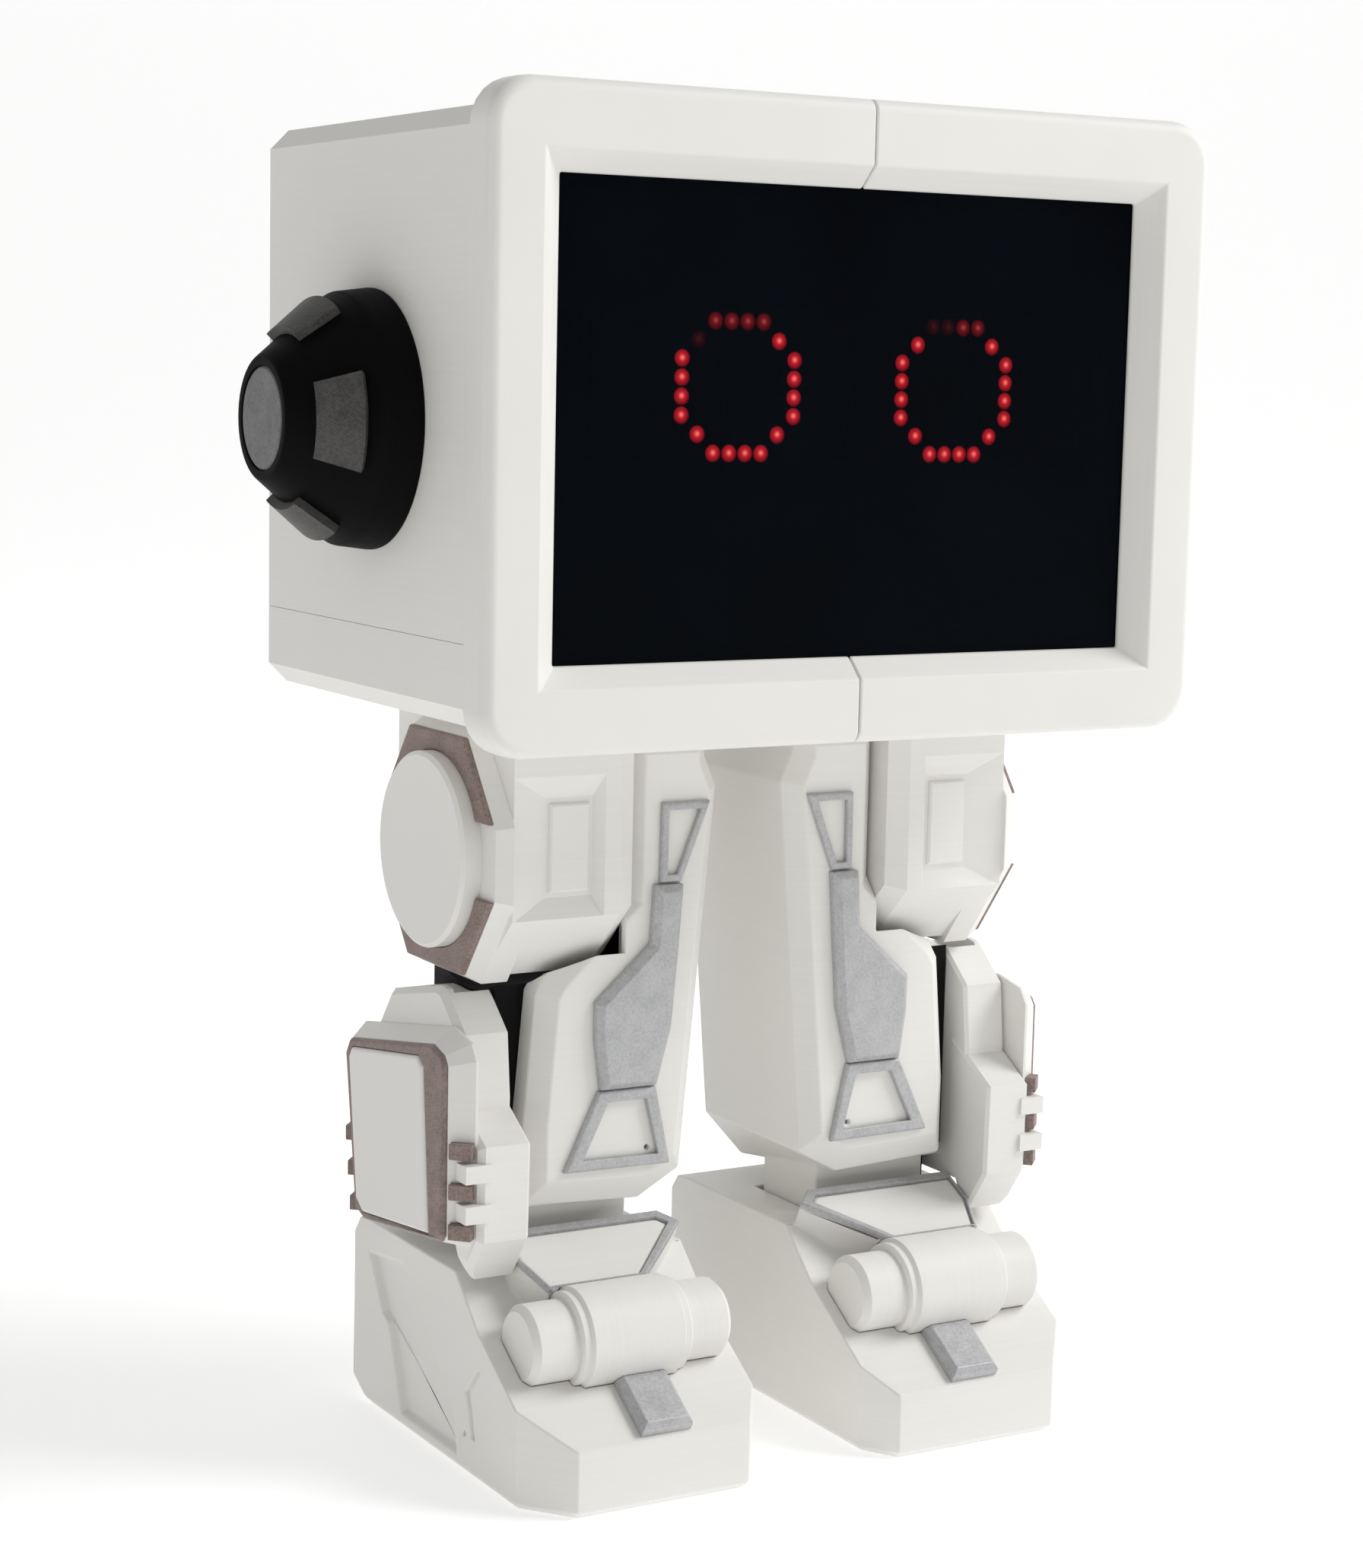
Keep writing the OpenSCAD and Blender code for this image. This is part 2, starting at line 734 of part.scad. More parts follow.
trapezoid_outline = [[22.1, 67], [49.8, 67.4], [41.2, 85.7], [26.2, 85.7]];
trapezoid_hole = [[25.4, 69.6], [45, 70], [38.7, 83], [28.8, 83]];
triangle_outline = [[20.5, 132.9], [26.1, 132.9], [25.9, 151.4], [13.2, 151.4]];
module shin_frames()
{
    color(silver) face_front(shin_front) union() {
        border_plate(trapezoid_outline, trapezoid_hole, 1.6, 0.5);
        border_plate(triangle_outline, inset(triangle_outline, 1.8), 1.4, 0.4);
    }
}

calf_x0 = 62.4;
// The calf shell's inner part, in y and z, and the block along its front
calf_outline = [[-13, 52], [32, 52], [36, 58], [36, 90], [24.6, 104.8], [0, 110],
    [-3, 109.6], [-13, 101], [-14.6, 86]];
calf_front = [[-17, 45.9], [-14.8, 45.9], [-8, 58], [-8, 88], [-24.5, 78], [-24, 56]];
// The box on its outer side where the panel sits, at its root and at its face
box_root = [[-22, 57.6], [-20, 54.4], [26, 48.2], [34, 49.2], [40.6, 89], [37, 94.6],
    [-10, 102.6], [-19.6, 100.6], [-22, 97]];
box_face = [[-18.1, 57], [-16.6, 55.3], [24.9, 49.9], [30, 51.6], [36, 88.2], [33.6, 92],
    [-10.8, 99.4], [-16.4, 97.8], [-18, 95.6]];
box_x0 = 74.3;
panel_x = 79.8;

// The studs along the front and the rear chamfer of the box, grown by gap
module studs(gap)
{
    for (z = [58.5, 67.6, 76.8])
        translate([77.8, -21, z]) rotate([0, 0, 46])
            cube([5.4, 2.6, 3.6] + 2 * gap * [1, 1, 1], center = true);
    for (i = [0:2])
        translate([78, 34.4 + 1.3 * i, 52 + 8.2 * i]) rotate([0, 0, -50])
            cube([5.2, 2.6, 3.6] + 2 * gap * [1, 1, 1], center = true);
}

module calf_shell()
{
    color(white) difference() {
        union() {
            face_side(calf_x0) bevelled(calf_outline, 12.2, 1.5);
            face_side(calf_x0 - 0.2) bevelled(calf_front, 12.7, 1.4);
            face_side(box_x0)
                loft([[box_root, 0], [box_root, 0.7], [box_face, panel_x - box_x0]]);
            // ribs between the studs
            for (z = [63.05, 72.2]) translate([72, -25, z - 2]) cube([6.6, 5, 4]);
        }
        // round clearance under the hip drum
        rod_x(0, drum_x1 + 1.7, hip, swing_r + 0.5);
        // lip at the front that narrows downwards
        translate([72.3, -40, 45.9]) rotate([0, 28, 0]) translate([0, 0, -20])
            cube([20, 26.5, 26.5]);
        // hollow, open towards the frame
        translate([calf_x0 - 1, -3, 60]) cube([14.4, 29, 34]);
        studs(0.05);
    }
}

white_panel = [[-10.9, 55.8], [24.6, 51.8], [28.4, 54.4], [33, 87.8], [31.4, 90.3],
    [-4.7, 95.6], [-7.4, 93.6]];
module calf_trim()
{
    color(taupe) {
        face_side(panel_x) border_plate(inset(box_face, 0.2), white_panel, 1.2, 0.7);
        studs(0);
    }
}

module calf_panel()
{
    color(white) face_side(panel_x) chamfered(inset(white_panel, 0.15), 1.7, 0.6);
}

// ---------------------------------------------------------------- feet

foot_slope = 32.2;
toe_y = -52.2;
toe_h = 15.4;
heel_y = 49;
// The foot in y and z
foot_profile = [[toe_y, 0], [37, 0], [heel_y - 2.6, 5], [heel_y, 37.5], [42.8, 45.4],
    [38, 46], [-9.5, 46], [-22, toe_h + (-22 - toe_y) * tan(foot_slope)], [toe_y, toe_h]];
// The foot in x and y
foot_plan = [[20.2, toe_y], [64, toe_y], [73.6, -40.5], [73.6, heel_y - 3], [70.6, heel_y],
    [18, heel_y], [14.5, heel_y - 3.5], [14.5, -43.5]];

tongue_slope = 26.6;
tongue_at = [-26.4, 43.3];
// The tongue in x and in distance up its slope
tongue_outline = [[33.6, 0], [58.5, 0], [61.9, 9.9], [61.9, 20.4], [21, 20.4], [16.8, 16]];
tongue_white = [[34.8, 0.8], [58.1, 0.8], [61.2, 10.2], [61.2, 18.2], [22.2, 18.2], [19.9, 15.9]];

// Places its child on the tongue's sloping face
module on_tongue()
{
    translate([0, tongue_at.x, tongue_at.y]) rotate([tongue_slope, 0, 0]) children();
}

cavity_floor = 20;
// The sunk field on the foot's outer side, in y and z
sunk_field = [[-11.5, 3.5], [18.6, 3.5], [26.3, 23.4], [29.5, 25], [37.6, 38.2],
    [19.4, 40.4], [12, 37], [3.2, 25.6], [-9, 14.6]];
// The hooked groove in front of it
hook_groove = [[-20.4, 9.5], [-19, 9.5], [-17.4, 15.4], [-15.6, 19.6], [-21.2, 26],
    [-22.6, 26], [-17.6, 19.5], [-19.2, 15.2]];
module foot_body()
{
    color(white) difference() {
        union() {
            intersection() {
                face_side(0) linear_extrude(100) polygon(foot_profile);
                loft([[inset(foot_plan, 1.5), 0], [foot_plan, 1.5], [foot_plan, 60]]);
            }
            // tongue: the block, then the white field that the frame surrounds
            intersection() {
                on_tongue() translate([0, 0, -30]) linear_extrude(30) polygon(tongue_outline);
                translate([0, -60, 20]) cube([100, 52.6, 60]);
            }
            intersection() {
                on_tongue() chamfered(inset(tongue_white, 0.1), 0.9, 0.5);
                translate([0, -60, 20]) cube([100, 52.6, 60]);
            }
        }
        // room for the ankle servo, open at the top
        translate([26, -5.6, cavity_floor]) cube([34.1, 29, 60]);
        // hollow toe and heel, reached from that room
        face_side(22) linear_extrude(38) polygon([[-46, 3.2], [-5, 3.2], [-5, 36], [-14, 30],
            [-24, 20], [-36, 19], [-46, 13]]);
        face_side(20) linear_extrude(48) polygon(rect(23, 4, 37, 42));
        translate([26, -5.6, 3.2]) cube([34.1, 29, 20]);
        // sunk field, hooked groove and pin hole on the outer side
        face_side(71.9) loft([[inset(sunk_field, 1), 0], [sunk_field, 1.8], [sunk_field, 4]]);
        face_side(72.5) linear_extrude(3) polygon(hook_groove);
        rod_x(71.6, 80, [-15.2, 9.6], 0.6);
        rod_x(19, 30, ankle, ankle_pin_r);
        // channel that the instep roller lies in
        roller_shape(0.1);
    }
}

module tongue_frame()
{
    color(silver) difference() {
        on_tongue() border_plate(tongue_outline, tongue_white, 1.5, 0.4);
        rod_x(sleeve_x0 - 0.1, sleeve_x1 + 0.1, roller, sleeve_r + 0.1);
    }
}

roller = [-31.3, 34];
sleeve_r = 11.6;
sleeve_x0 = 29.5;
sleeve_x1 = 57.5;
roller_r = 9.1;
roller_x0 = 18;
roller_x1 = 68.6;
// A thick sleeve with a collar at each end, on a roller with bevelled ends, grown by gap
module roller_shape(gap)
{
    bevel = 1.5;
    collar_w = 2;
    r = roller_r + gap;
    sr = sleeve_r + gap;
    cr = sleeve_r - 0.9 + gap;
    translate([0, roller.x, roller.y]) rotate([0, 90, 0]) rotate_extrude($fn = 72) polygon([
        [0, roller_x0 - gap], [r - bevel, roller_x0 - gap], [r, roller_x0 + bevel - gap],
        [r, sleeve_x0 - gap], [cr - 0.5, sleeve_x0 - gap], [cr, sleeve_x0 + 0.5 - gap],
        [cr, sleeve_x0 + collar_w - gap], [sr, sleeve_x0 + collar_w + 0.6 - gap],
        [sr, sleeve_x1 - collar_w - 0.6 + gap], [cr, sleeve_x1 - collar_w + gap],
        [cr, sleeve_x1 - 0.5 + gap], [cr - 0.5, sleeve_x1 + gap], [r, sleeve_x1 + gap],
        [r, roller_x1 - bevel + gap], [r - bevel, roller_x1 + gap], [0, roller_x1 + gap]]);
}

module instep_roller()
{
    color(white) roller_shape(0);
}

module toe_plate()
{
    color(silver) difference() {
        translate([41.5, toe_y, toe_h]) rotate([foot_slope, 0, 0])
            chamfered(rect(-6.4, 1.2, 6.4, 20.5), 3.3, 1.3);
        rod_x(sleeve_x0 - 0.1, sleeve_x1 + 0.1, roller, sleeve_r + 0.1);
    }
}

module ankle_horn()
{
    translate([servo_face_x, ankle.x, ankle.y]) rotate([0, 90, 0]) horn(8.5);
}

module ankle_pin()
{
    color("#C8C8CC") rod_x(19.4, 31, ankle, ankle_pin_r);
}

// ---------------------------------------------------------------- drawing

bezel_half("left");  // bezel_left
bezel_half("right");  // bezel_right
head_hood();
head_tray();
back_cover();
screen_window();
window_clamp();
matrix_board();
matrix_blocks();
led_eyes();
controller_board();
battery_pack();
yaw_servos();
switch_body();
power_rocker();
ear_pods();
ear_pads();
ear_discs();
cover_screws();
for (side = ["left", "right"]) on_side(side) {
    yaw_horn();
    hip_housing();
    hip_servo();
    hip_ring();
    hip_cap();
    hip_horn();
    leg_frame();
    ankle_servo();
    shin_cover();
    shin_plate();
    shin_frames();
    calf_shell();
    calf_trim();
    calf_panel();
    ankle_horn();
    ankle_pin();
    foot_body();
    tongue_frame();
    instep_roller();
    toe_plate();
}
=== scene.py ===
"""Looks of the two-legged robot kit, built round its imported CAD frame."""

import json
import math

import bmesh
import bpy
from mathutils import Matrix, Vector


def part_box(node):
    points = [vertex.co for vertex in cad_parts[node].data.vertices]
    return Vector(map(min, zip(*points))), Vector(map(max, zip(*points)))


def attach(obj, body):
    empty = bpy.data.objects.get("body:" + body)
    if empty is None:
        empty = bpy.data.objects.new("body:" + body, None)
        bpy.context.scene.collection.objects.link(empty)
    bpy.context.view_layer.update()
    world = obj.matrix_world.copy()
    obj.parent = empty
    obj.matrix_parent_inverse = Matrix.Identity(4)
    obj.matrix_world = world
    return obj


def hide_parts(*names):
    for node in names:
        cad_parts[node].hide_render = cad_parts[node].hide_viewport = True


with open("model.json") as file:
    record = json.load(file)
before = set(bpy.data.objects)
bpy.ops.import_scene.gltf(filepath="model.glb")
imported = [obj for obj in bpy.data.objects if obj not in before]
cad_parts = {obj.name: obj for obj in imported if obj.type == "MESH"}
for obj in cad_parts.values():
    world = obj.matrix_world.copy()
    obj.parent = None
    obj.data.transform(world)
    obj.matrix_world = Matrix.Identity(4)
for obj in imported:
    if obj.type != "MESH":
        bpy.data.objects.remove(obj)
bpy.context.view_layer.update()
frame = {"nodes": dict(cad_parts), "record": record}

MM = 0.001
X, Y, Z = (1, 0, 0), (0, 1, 0), (0, 0, 1)
SIDES = ("left", "right")


# ------------------------------------------------------------------ node trees


def wire(tree, node, inputs):
    """Sets a node's inputs. An input is a value, or another node's output to link."""
    for name, value in inputs.items():
        if isinstance(value, bpy.types.NodeSocket):
            tree.links.new(value, node.inputs[name])
        else:
            node.inputs[name].default_value = value


def add_node(tree, kind, inputs=None, **settings):
    """Makes one shader node with its settings and inputs."""
    made = tree.nodes.new(kind)
    for name, value in settings.items():
        setattr(made, name, value)
    wire(tree, made, inputs or {})
    return made


def surface_coords(tree, kind="Object"):
    """Texture coordinates of one kind."""
    return add_node(tree, "ShaderNodeTexCoord").outputs[kind]


def math_node(tree, operation, a, b=0.0):
    """The result of a sum on one or two values."""
    return add_node(tree, "ShaderNodeMath", {0: a, 1: b}, operation=operation).outputs[0]


def vector_node(tree, operation, a, b=(0, 0, 0), result="Vector"):
    """The result of a sum on one or two vectors."""
    made = add_node(tree, "ShaderNodeVectorMath", {0: a, 1: b}, operation=operation)
    return made.outputs[result]


def noise(tree, coords, scale, detail=2.0, roughness=0.5):
    """A noise texture's value at the given coordinates."""
    inputs = {"Vector": coords, "Scale": scale, "Detail": detail, "Roughness": roughness}
    return add_node(tree, "ShaderNodeTexNoise", inputs).outputs["Fac"]


def stripes(tree, coords, direction, pitch):
    """Waves between -1 and 1 that follow one another in a direction."""
    along = vector_node(tree, "DOT_PRODUCT", coords, direction, "Value")
    return math_node(tree, "SINE", math_node(tree, "MULTIPLY", along, 2 * math.pi / pitch))


def ramp(tree, value, stops):
    """A colour ramp through (position, colour) stops."""
    made = add_node(tree, "ShaderNodeValToRGB", {"Fac": value})
    elements = made.color_ramp.elements
    while len(elements) < len(stops):
        elements.new(0.5)
    for element, (position, colour) in zip(elements, stops):
        element.position = position
        element.color = (*colour, 1)
    return made.outputs["Color"]


def bump(tree, height, strength, distance):
    """The surface normal, tilted by a relief."""
    inputs = {"Height": height, "Strength": strength, "Distance": distance}
    return add_node(tree, "ShaderNodeBump", inputs).outputs["Normal"]


def spread(tree, value, low, high):
    """A value from 0.3 to 0.7, as noise gives, mapped to run from low to high."""
    inputs = {"Value": value, "From Min": 0.3, "From Max": 0.7, "To Min": low, "To Max": high}
    return add_node(tree, "ShaderNodeMapRange", inputs).outputs["Result"]


def with_share(tree, main, other, share):
    """One value with a share of another added to it."""
    return math_node(tree, "ADD", math_node(tree, "MULTIPLY", other, share), main)


def blend(tree, main, other):
    """Three fifths of one value and two fifths of another."""
    return with_share(tree, math_node(tree, "MULTIPLY", main, 0.6), other, 0.4)


def shade(colour, factor):
    """A colour made lighter or darker."""
    return tuple(min(1.0, channel * factor) for channel in colour)


def around(colour, grain):
    """Ramp stops that run from a little darker than a colour to a little lighter."""
    return [(0.35, shade(colour, 1 - grain)), (0.65, shade(colour, 1 + grain))]


def new_material(name):
    """An empty material with a Principled shader, and its tree and shader."""
    material = bpy.data.materials.new(name)
    material.use_nodes = True
    tree = material.node_tree
    return material, tree, tree.nodes["Principled BSDF"]


# ------------------------------------------------------------------ materials

# how far apart the layers, and the tool paths of a top layer, lie
LAYER = 0.28 * MM
TOOL_PATH = 0.55 * MM

# least and greatest roughness
MATT = (0.5, 0.65)
SATIN = (0.36, 0.52)

WHITE = (0.815, 0.803, 0.768)

# a lit lamp's glow from its hot spot to its rim: its own light, with a painted highlight at the hot
# spot and painted dome shading towards the rim
GLOW_AND_HIGHLIGHT = [
    (0.0, (1.0, 0.2, 0.16)),
    (0.1, (0.8, 0.09, 0.08)),
    (0.22, (0.42, 0.012, 0.02)),
    (0.38, (0.26, 0.004, 0.01)),
    (0.5, (0.09, 0.001, 0.003)),
]
BRIGHT_GLOW, DIM_GLOW, FAINT_GLOW = 17.0, 5.0, 0.7


def printed(name, colour, rough=(0.46, 0.6), along=Z, grain=0.014, gloss=0.4):
    """Printed plastic: fine layer lines across one direction, long streaks and a little mottle."""
    material, tree, shader = new_material(name)
    coords = surface_coords(tree)
    # streaks run along the layers: quick across them, slow along them
    stretch = [1400 if axis else 18 for axis in along]
    streaks = noise(tree, vector_node(tree, "MULTIPLY", coords, stretch), 1.0, detail=3.0)
    mottle = noise(tree, coords, 60.0, detail=4.0)
    speck = noise(tree, coords, 2600.0, detail=1.0)
    mix = blend(tree, streaks, mottle)
    relief = with_share(tree, streaks, stripes(tree, coords, along, LAYER), 0.12)
    relief = with_share(tree, relief, speck, 0.25)
    wire(tree, shader, {
        "Base Color": ramp(tree, mix, around(colour, grain)),
        "Roughness": spread(tree, mix, *rough),
        "Specular IOR Level": gloss,
        "Normal": bump(tree, relief, 0.4, 0.035 * MM),
    })
    return material


def speckled(name, colour, dark, rough=MATT, metallic=0.0, gloss=0.5):
    """Printed plastic with flakes in it, whose top layer shows its slanting tool paths."""
    material, tree, shader = new_material(name)
    coords = surface_coords(tree)
    flakes = noise(tree, coords, 1500.0, detail=2.0)
    mottle = noise(tree, coords, 220.0, detail=3.0)
    mix = blend(tree, flakes, mottle)
    paths = stripes(tree, coords, (0.707, 0.2, 0.707), TOOL_PATH)
    wire(tree, shader, {
        "Base Color": ramp(tree, mix, [(0.36, dark), (0.6, colour)]),
        "Roughness": spread(tree, mix, *rough),
        "Metallic": metallic,
        "Specular IOR Level": gloss,
        "Normal": bump(tree, with_share(tree, flakes, paths, 0.3), 0.6, 0.07 * MM),
    })
    return material


def moulded(name, colour, rough=(0.25, 0.4), coat=0.0, metallic=0.0):
    """Smooth moulded plastic, or bare metal, with a faint unevenness."""
    material, tree, shader = new_material(name)
    mottle = noise(tree, surface_coords(tree), 180.0, detail=4.0)
    wire(tree, shader, {
        "Base Color": ramp(tree, mottle, around(colour, 0.1)),
        "Roughness": spread(tree, mottle, *rough),
        "Metallic": metallic,
        "Coat Weight": coat,
        "Normal": bump(tree, mottle, 0.15, 0.05 * MM),
    })
    return material


def smoked_window():
    """Dark acrylic that lets the lamps behind it shine through."""
    material, tree, shader = new_material("smoked_window")
    haze = noise(tree, surface_coords(tree), 25.0, detail=3.0)
    stops = [(0.3, (0.0012, 0.002, 0.0036)), (0.7, (0.0018, 0.0032, 0.006))]
    wire(tree, shader, {
        "Base Color": ramp(tree, haze, stops),
        "Roughness": spread(tree, haze, 0.24, 0.32),
        "Alpha": 0.75,
        "Specular IOR Level": 0.03,
    })
    return material


def lamp(name, strength):
    """A lit lamp: its own glow, with a painted highlight as a hot spot on its face and painted dome
    shading deep red towards its rim.
    """
    material, tree, shader = new_material(name)
    # the painted highlight, a hot spot, lies a little off the middle
    from_highlight = vector_node(tree, "SUBTRACT", surface_coords(tree, "UV"), (0.46, 0.54, 0))
    radius = vector_node(tree, "LENGTH", from_highlight, result="Value")
    wire(tree, shader, {
        "Base Color": (0.05, 0.002, 0.003, 1),
        "Roughness": 0.4,
        # the glow ramp paints a highlight and dome shading into the lamp's own light
        "Emission Color": ramp(tree, radius, GLOW_AND_HIGHLIGHT),
        "Emission Strength": strength,
    })
    return material


finishes = {
    "shell_white": printed("printed_white", WHITE),
    "bezel_white": printed("printed_white_face", WHITE, along=Y),
    "panel_white": printed("printed_white_side", WHITE, along=X),
    "trim_silver": speckled("printed_silver", (0.51, 0.51, 0.525), (0.4, 0.4, 0.41), SATIN, 0.2),
    "trim_taupe": speckled("printed_taupe", (0.3, 0.225, 0.2), (0.17, 0.125, 0.11)),
    "frame_black": printed("printed_black", (0.005, 0.005, 0.0055), (0.55, 0.7), Z, 0.2, 0.12),
    "ear_black": printed("printed_black_ear", (0.003, 0.003, 0.0034), MATT, X, 0.2, 0.05),
    "ear_grey": speckled("printed_grey", (0.085, 0.083, 0.079), (0.045, 0.043, 0.041), gloss=0.3),
    "ear_disc": speckled("printed_grey_disc", (0.2, 0.2, 0.2), (0.12, 0.12, 0.12), gloss=0.3),
    "screen_smoke": smoked_window(),
    "matrix_black": moulded("matrix_black", (0.002, 0.002, 0.003), (0.5, 0.6)),
    "led_red": lamp("lamp_red", BRIGHT_GLOW),
    "board_green": moulded("board_green", (0.02, 0.1, 0.06), coat=0.4),
    "board_blue": moulded("board_blue", (0.02, 0.09, 0.22), coat=0.4),
    "battery_blue": moulded("battery_blue", (0.05, 0.25, 0.45)),
    "servo_case": moulded("servo_case", (0.03, 0.03, 0.035)),
    "horn_white": moulded("horn_white", (0.75, 0.75, 0.72)),
    "switch_black": moulded("switch_black", (0.015, 0.015, 0.016)),
    "switch_red": moulded("switch_red", (0.45, 0.012, 0.014), coat=0.2),
    "steel": moulded("steel", (0.55, 0.55, 0.56), (0.25, 0.35), metallic=1.0),
    "screw_black": moulded("screw_black", (0.03, 0.03, 0.032), (0.3, 0.42), metallic=0.8),
}

# ------------------------------------------------------------------ shapes

# how far sharp edges are rounded over, on the plainer shells and on everything else
SHELL_EDGE = 0.5 * MM
SMALL_EDGE = 0.3 * MM
SHELLS = ("bezel", "shin_cover", "foot_body")

# points this near are one point, and faces this flat to each other are one face
SAME_POINT = 0.002 * MM
SAME_PLANE = math.radians(0.6)
# edges from this angle on are rounded over, and from this one on keep a hard line
ROUNDED = math.radians(20)
HARD = math.radians(50)

bodies = frame["record"]["behaviour"]["bodies"]
body_of = {node: body for body, nodes in bodies.items() for node in nodes}
slot_of = {part["node"]: part["material_slot"] for part in frame["record"]["subparts"]}

# nodes whose finish isn't the one named by their slot
special = {
    "bezel_left": "bezel_white",
    "bezel_right": "bezel_white",
    "back_cover": "bezel_white",
    "ear_pods": "ear_black",
    "ear_discs": "ear_disc",
}
for side in SIDES:
    special[f"hip_cap_{side}"] = "panel_white"
    special[f"calf_panel_{side}"] = "panel_white"
    special[f"instep_roller_{side}"] = "panel_white"


def add_object(name, data):
    """A new object in the scene that shows some data."""
    made = bpy.data.objects.new(name, data)
    bpy.context.scene.collection.objects.link(made)
    return made


def mesh_from(name, shape):
    """A mesh made of a bmesh, which is freed."""
    mesh = bpy.data.meshes.new(name)
    shape.to_mesh(mesh)
    shape.free()
    return mesh


def shade_smooth(mesh):
    """Makes all faces of a mesh shade smoothly."""
    for polygon in mesh.polygons:
        polygon.use_smooth = True


def dress(piece, material):
    """Gives a piece one material."""
    piece.data.materials.clear()
    piece.data.materials.append(material)


def bake_modifiers(piece):
    """Turns a piece's modifiers into its mesh."""
    depsgraph = bpy.context.evaluated_depsgraph_get()
    made = bpy.data.meshes.new_from_object(piece.evaluated_get(depsgraph))
    piece.modifiers.clear()
    piece.data = made


def softened(name):
    """A copy of a CAD node with its sharp edges rounded over, standing for that node."""
    plain_shell = name.startswith(SHELLS)
    shape = bmesh.new()
    shape.from_mesh(frame["nodes"][name].data)
    bmesh.ops.remove_doubles(shape, verts=shape.verts, dist=SAME_POINT)
    bmesh.ops.dissolve_limit(
        shape, angle_limit=SAME_PLANE, verts=shape.verts, edges=shape.edges
    )
    wide = [face for face in shape.faces if len(face.verts) > 4]
    bmesh.ops.triangulate(shape, faces=wide, ngon_method="BEAUTY")
    mesh = mesh_from(f"{name}_soft", shape)
    piece = add_object(f"{name}_soft", mesh)
    shade_smooth(mesh)
    bevel = piece.modifiers.new("round", "BEVEL")
    bevel.width = SHELL_EDGE if plain_shell else SMALL_EDGE
    bevel.segments = 2
    bevel.limit_method = "ANGLE"
    bevel.angle_limit = ROUNDED
    bevel.loop_slide = False
    # on the other pieces small features lie close together, so there the width gives way
    bevel.use_clamp_overlap = not plain_shell
    bake_modifiers(piece)
    piece.data.set_sharp_from_angle(angle=HARD)
    # flat faces keep their own normals, so only the rounded edges shade softly
    weighted = piece.modifiers.new("weighted", "WEIGHTED_NORMAL")
    weighted.mode = "FACE_AREA"
    weighted.keep_sharp = True
    bake_modifiers(piece)
    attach(piece, body_of[name])
    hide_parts(name)
    return piece


# ------------------------------------------------------------------ lamps

# lamps along each side of the square block that shows one eye
BLOCK = 8
LED_PITCH = 4.0 * MM
LED_RADIUS = 1.88 * MM
LED_RISE = 0.3 * MM
EYE_X = 28.0 * MM
DOME_STEPS = 24
DOME_RINGS = (0.0, 0.35, 0.65, 0.9)
# lamps that glow less than the rest, by eye, row and column
DIM = {(-1, 0, 2), (-1, 0, 3), (-1, 0, 4), (-1, 0, 5), (1, 0, 4), (1, 0, 5)}
FAINT = {(-1, 1, 1), (1, 0, 2), (1, 0, 3)}


def lit(row, column):
    """Whether a lamp belongs to the round eye drawn on the block."""
    r, c = (min(place, BLOCK - 1 - place) for place in (row, column))
    return (r == 0 and c >= 2) or (r == 1 and c == 1) or (r >= 2 and c == 0)


def add_dome(shape, layer, centre):
    """Adds one low dome, with face coordinates of its own, to a bmesh."""
    rings = []
    for rise in DOME_RINGS:
        radius = LED_RADIUS * math.cos(rise * math.pi / 2)
        depth = LED_RISE * math.sin(rise * math.pi / 2)
        rings.append([
            shape.verts.new(centre + Vector((radius * math.cos(a), -depth, radius * math.sin(a))))
            for a in (2 * math.pi * step / DOME_STEPS for step in range(DOME_STEPS))
        ])
    faces = [shape.faces.new(rings[-1])]
    for inner, outer in zip(rings[1:], rings):
        for step in range(DOME_STEPS):
            nxt = (step + 1) % DOME_STEPS
            faces.append(shape.faces.new((outer[step], outer[nxt], inner[nxt], inner[step])))
    for face in faces:
        face.smooth = True
        for loop in face.loops:
            away = loop.vert.co - centre
            loop[layer].uv = (0.5 + away.x / LED_RADIUS / 2, 0.5 + away.z / LED_RADIUS / 2)


def lamp_domes(name, wanted, material):
    """The domes of the lamps that are wanted."""
    low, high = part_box("led_eyes")
    middle = Vector(((low[0] + high[0]) / 2, high[1], (low[2] + high[2]) / 2))
    half = (BLOCK - 1) / 2
    shape = bmesh.new()
    layer = shape.loops.layers.uv.new("face")
    for eye, row, column in wanted:
        across = eye * EYE_X + (column - half) * LED_PITCH
        add_dome(shape, layer, middle + Vector((across, 0, (half - row) * LED_PITCH)))
    bmesh.ops.recalc_face_normals(shape, faces=shape.faces)
    piece = add_object(name, mesh_from(name, shape))
    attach(piece, "head")
    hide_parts("led_eyes")
    dress(piece, material)


grid = [(eye, row, column) for eye in (-1, 1) for row in range(BLOCK) for column in range(BLOCK)]
lamps = [each for each in grid if lit(each[1], each[2])]
bright = [each for each in lamps if each not in DIM | FAINT]
lamp_domes("lamps_bright", bright, finishes["led_red"])
lamp_domes("lamps_dim", [each for each in lamps if each in DIM], lamp("lamp_red_dim", DIM_GLOW))
lamp_domes("lamps_faint", [each for each in lamps if each in FAINT], lamp("lamp_red_faint", FAINT_GLOW))

for name in frame["nodes"]:
    if name != "led_eyes":
        dress(softened(name), finishes[special.get(name, slot_of[name])])

# ------------------------------------------------------------------ stage

CAMERA_PLACE = (-0.3691, -0.6168, 0.2502)
YAW, PITCH, ROLL = (math.radians(angle) for angle in (-30.104, 7.772, 1.2325))
ROBOT_MIDDLE = Vector((0, 0, 0.16))


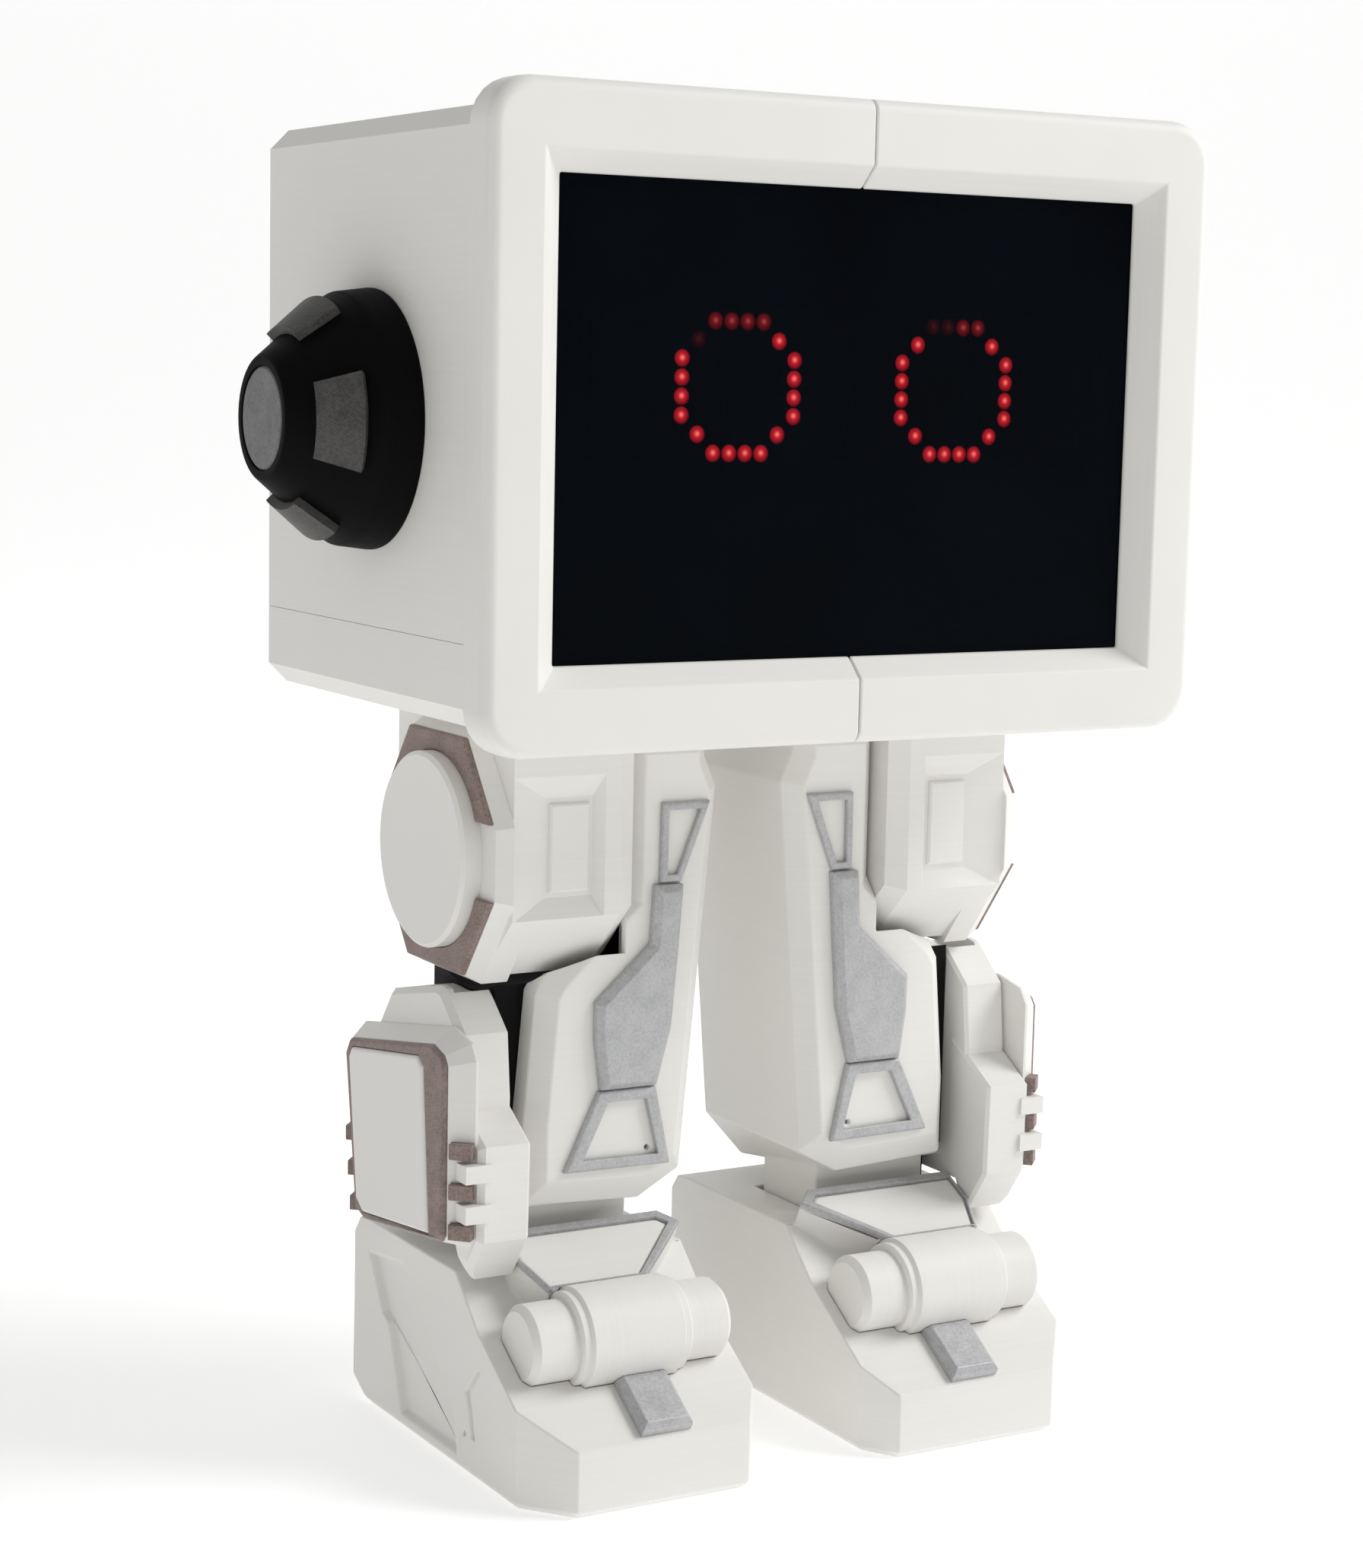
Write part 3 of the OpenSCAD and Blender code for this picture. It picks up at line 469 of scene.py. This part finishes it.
def add_camera():
    """The camera, where a person would hold it: a little above the head's middle, to its right."""
    back = Vector((math.sin(YAW) * math.cos(PITCH), -math.cos(YAW) * math.cos(PITCH), math.sin(PITCH)))
    level = (-back).cross(Vector(Z)).normalized()
    upright = level.cross(-back)
    right = math.cos(ROLL) * level + math.sin(ROLL) * upright
    up = math.cos(ROLL) * upright - math.sin(ROLL) * level
    data = bpy.data.cameras.new("camera")
    data.lens = 70.51
    data.sensor_width = 36
    data.clip_start = 0.01
    camera = add_object("camera", data)
    turned = Matrix((right, up, back)).transposed().to_4x4()
    camera.matrix_world = Matrix.Translation(CAMERA_PLACE) @ turned
    bpy.context.scene.camera = camera


def add_light(name, place, size, power):
    """A soft square light that looks at the robot's middle."""
    data = bpy.data.lights.new(name, "AREA")
    data.size = size
    data.energy = power
    light = add_object(name, data)
    light.location = place
    aim = ROBOT_MIDDLE - Vector(place)
    light.rotation_mode = "QUATERNION"
    light.rotation_quaternion = aim.to_track_quat("-Z", "Y")


def add_backdrop():
    """A plain pale floor that curves up behind the robot into a wall, square to the camera."""
    ahead = Vector((-math.sin(YAW), math.cos(YAW), 0))
    across = Vector((ahead.y, -ahead.x, 0))
    near, flat, bend, top, half_width, steps = -5.0, 2.2, 1.4, 4.0, 7, 24
    profile = [(near, 0.0), (0.0, 0.0)]
    for step in range(steps + 1):
        angle = math.radians(90 * step / steps)
        profile.append((flat + bend * math.sin(angle), bend * (1 - math.cos(angle))))
    profile.append((flat + bend, top))
    mesh = bpy.data.meshes.new("backdrop")
    verts = [
        ahead * along + across * aside + Vector((0, 0, up))
        for along, up in profile
        for aside in (-half_width, half_width)
    ]
    faces = [(2 * i, 2 * i + 1, 2 * i + 3, 2 * i + 2) for i in range(len(profile) - 1)]
    mesh.from_pydata(verts, [], faces)
    shade_smooth(mesh)
    backdrop = add_object("backdrop", mesh)
    material, tree, shader = new_material("backdrop")
    wire(tree, shader, {
        "Base Color": (0.9, 0.9, 0.895, 1),
        "Roughness": 0.85,
        "Specular IOR Level": 0.1,
        "Emission Color": (1, 1, 1, 1),
        "Emission Strength": 0.4,
    })
    dress(backdrop, material)


add_camera()
add_backdrop()
add_light("key", place=(1.59, -0.83, 1.61), size=1.1, power=35)

world = bpy.data.worlds.new("studio")
world.use_nodes = True
sky = world.node_tree
wire(sky, sky.nodes["Background"], {"Color": (1, 1, 1, 1), "Strength": 0.4})
bpy.context.scene.world = world
bpy.context.scene.view_settings.view_transform = "Standard"
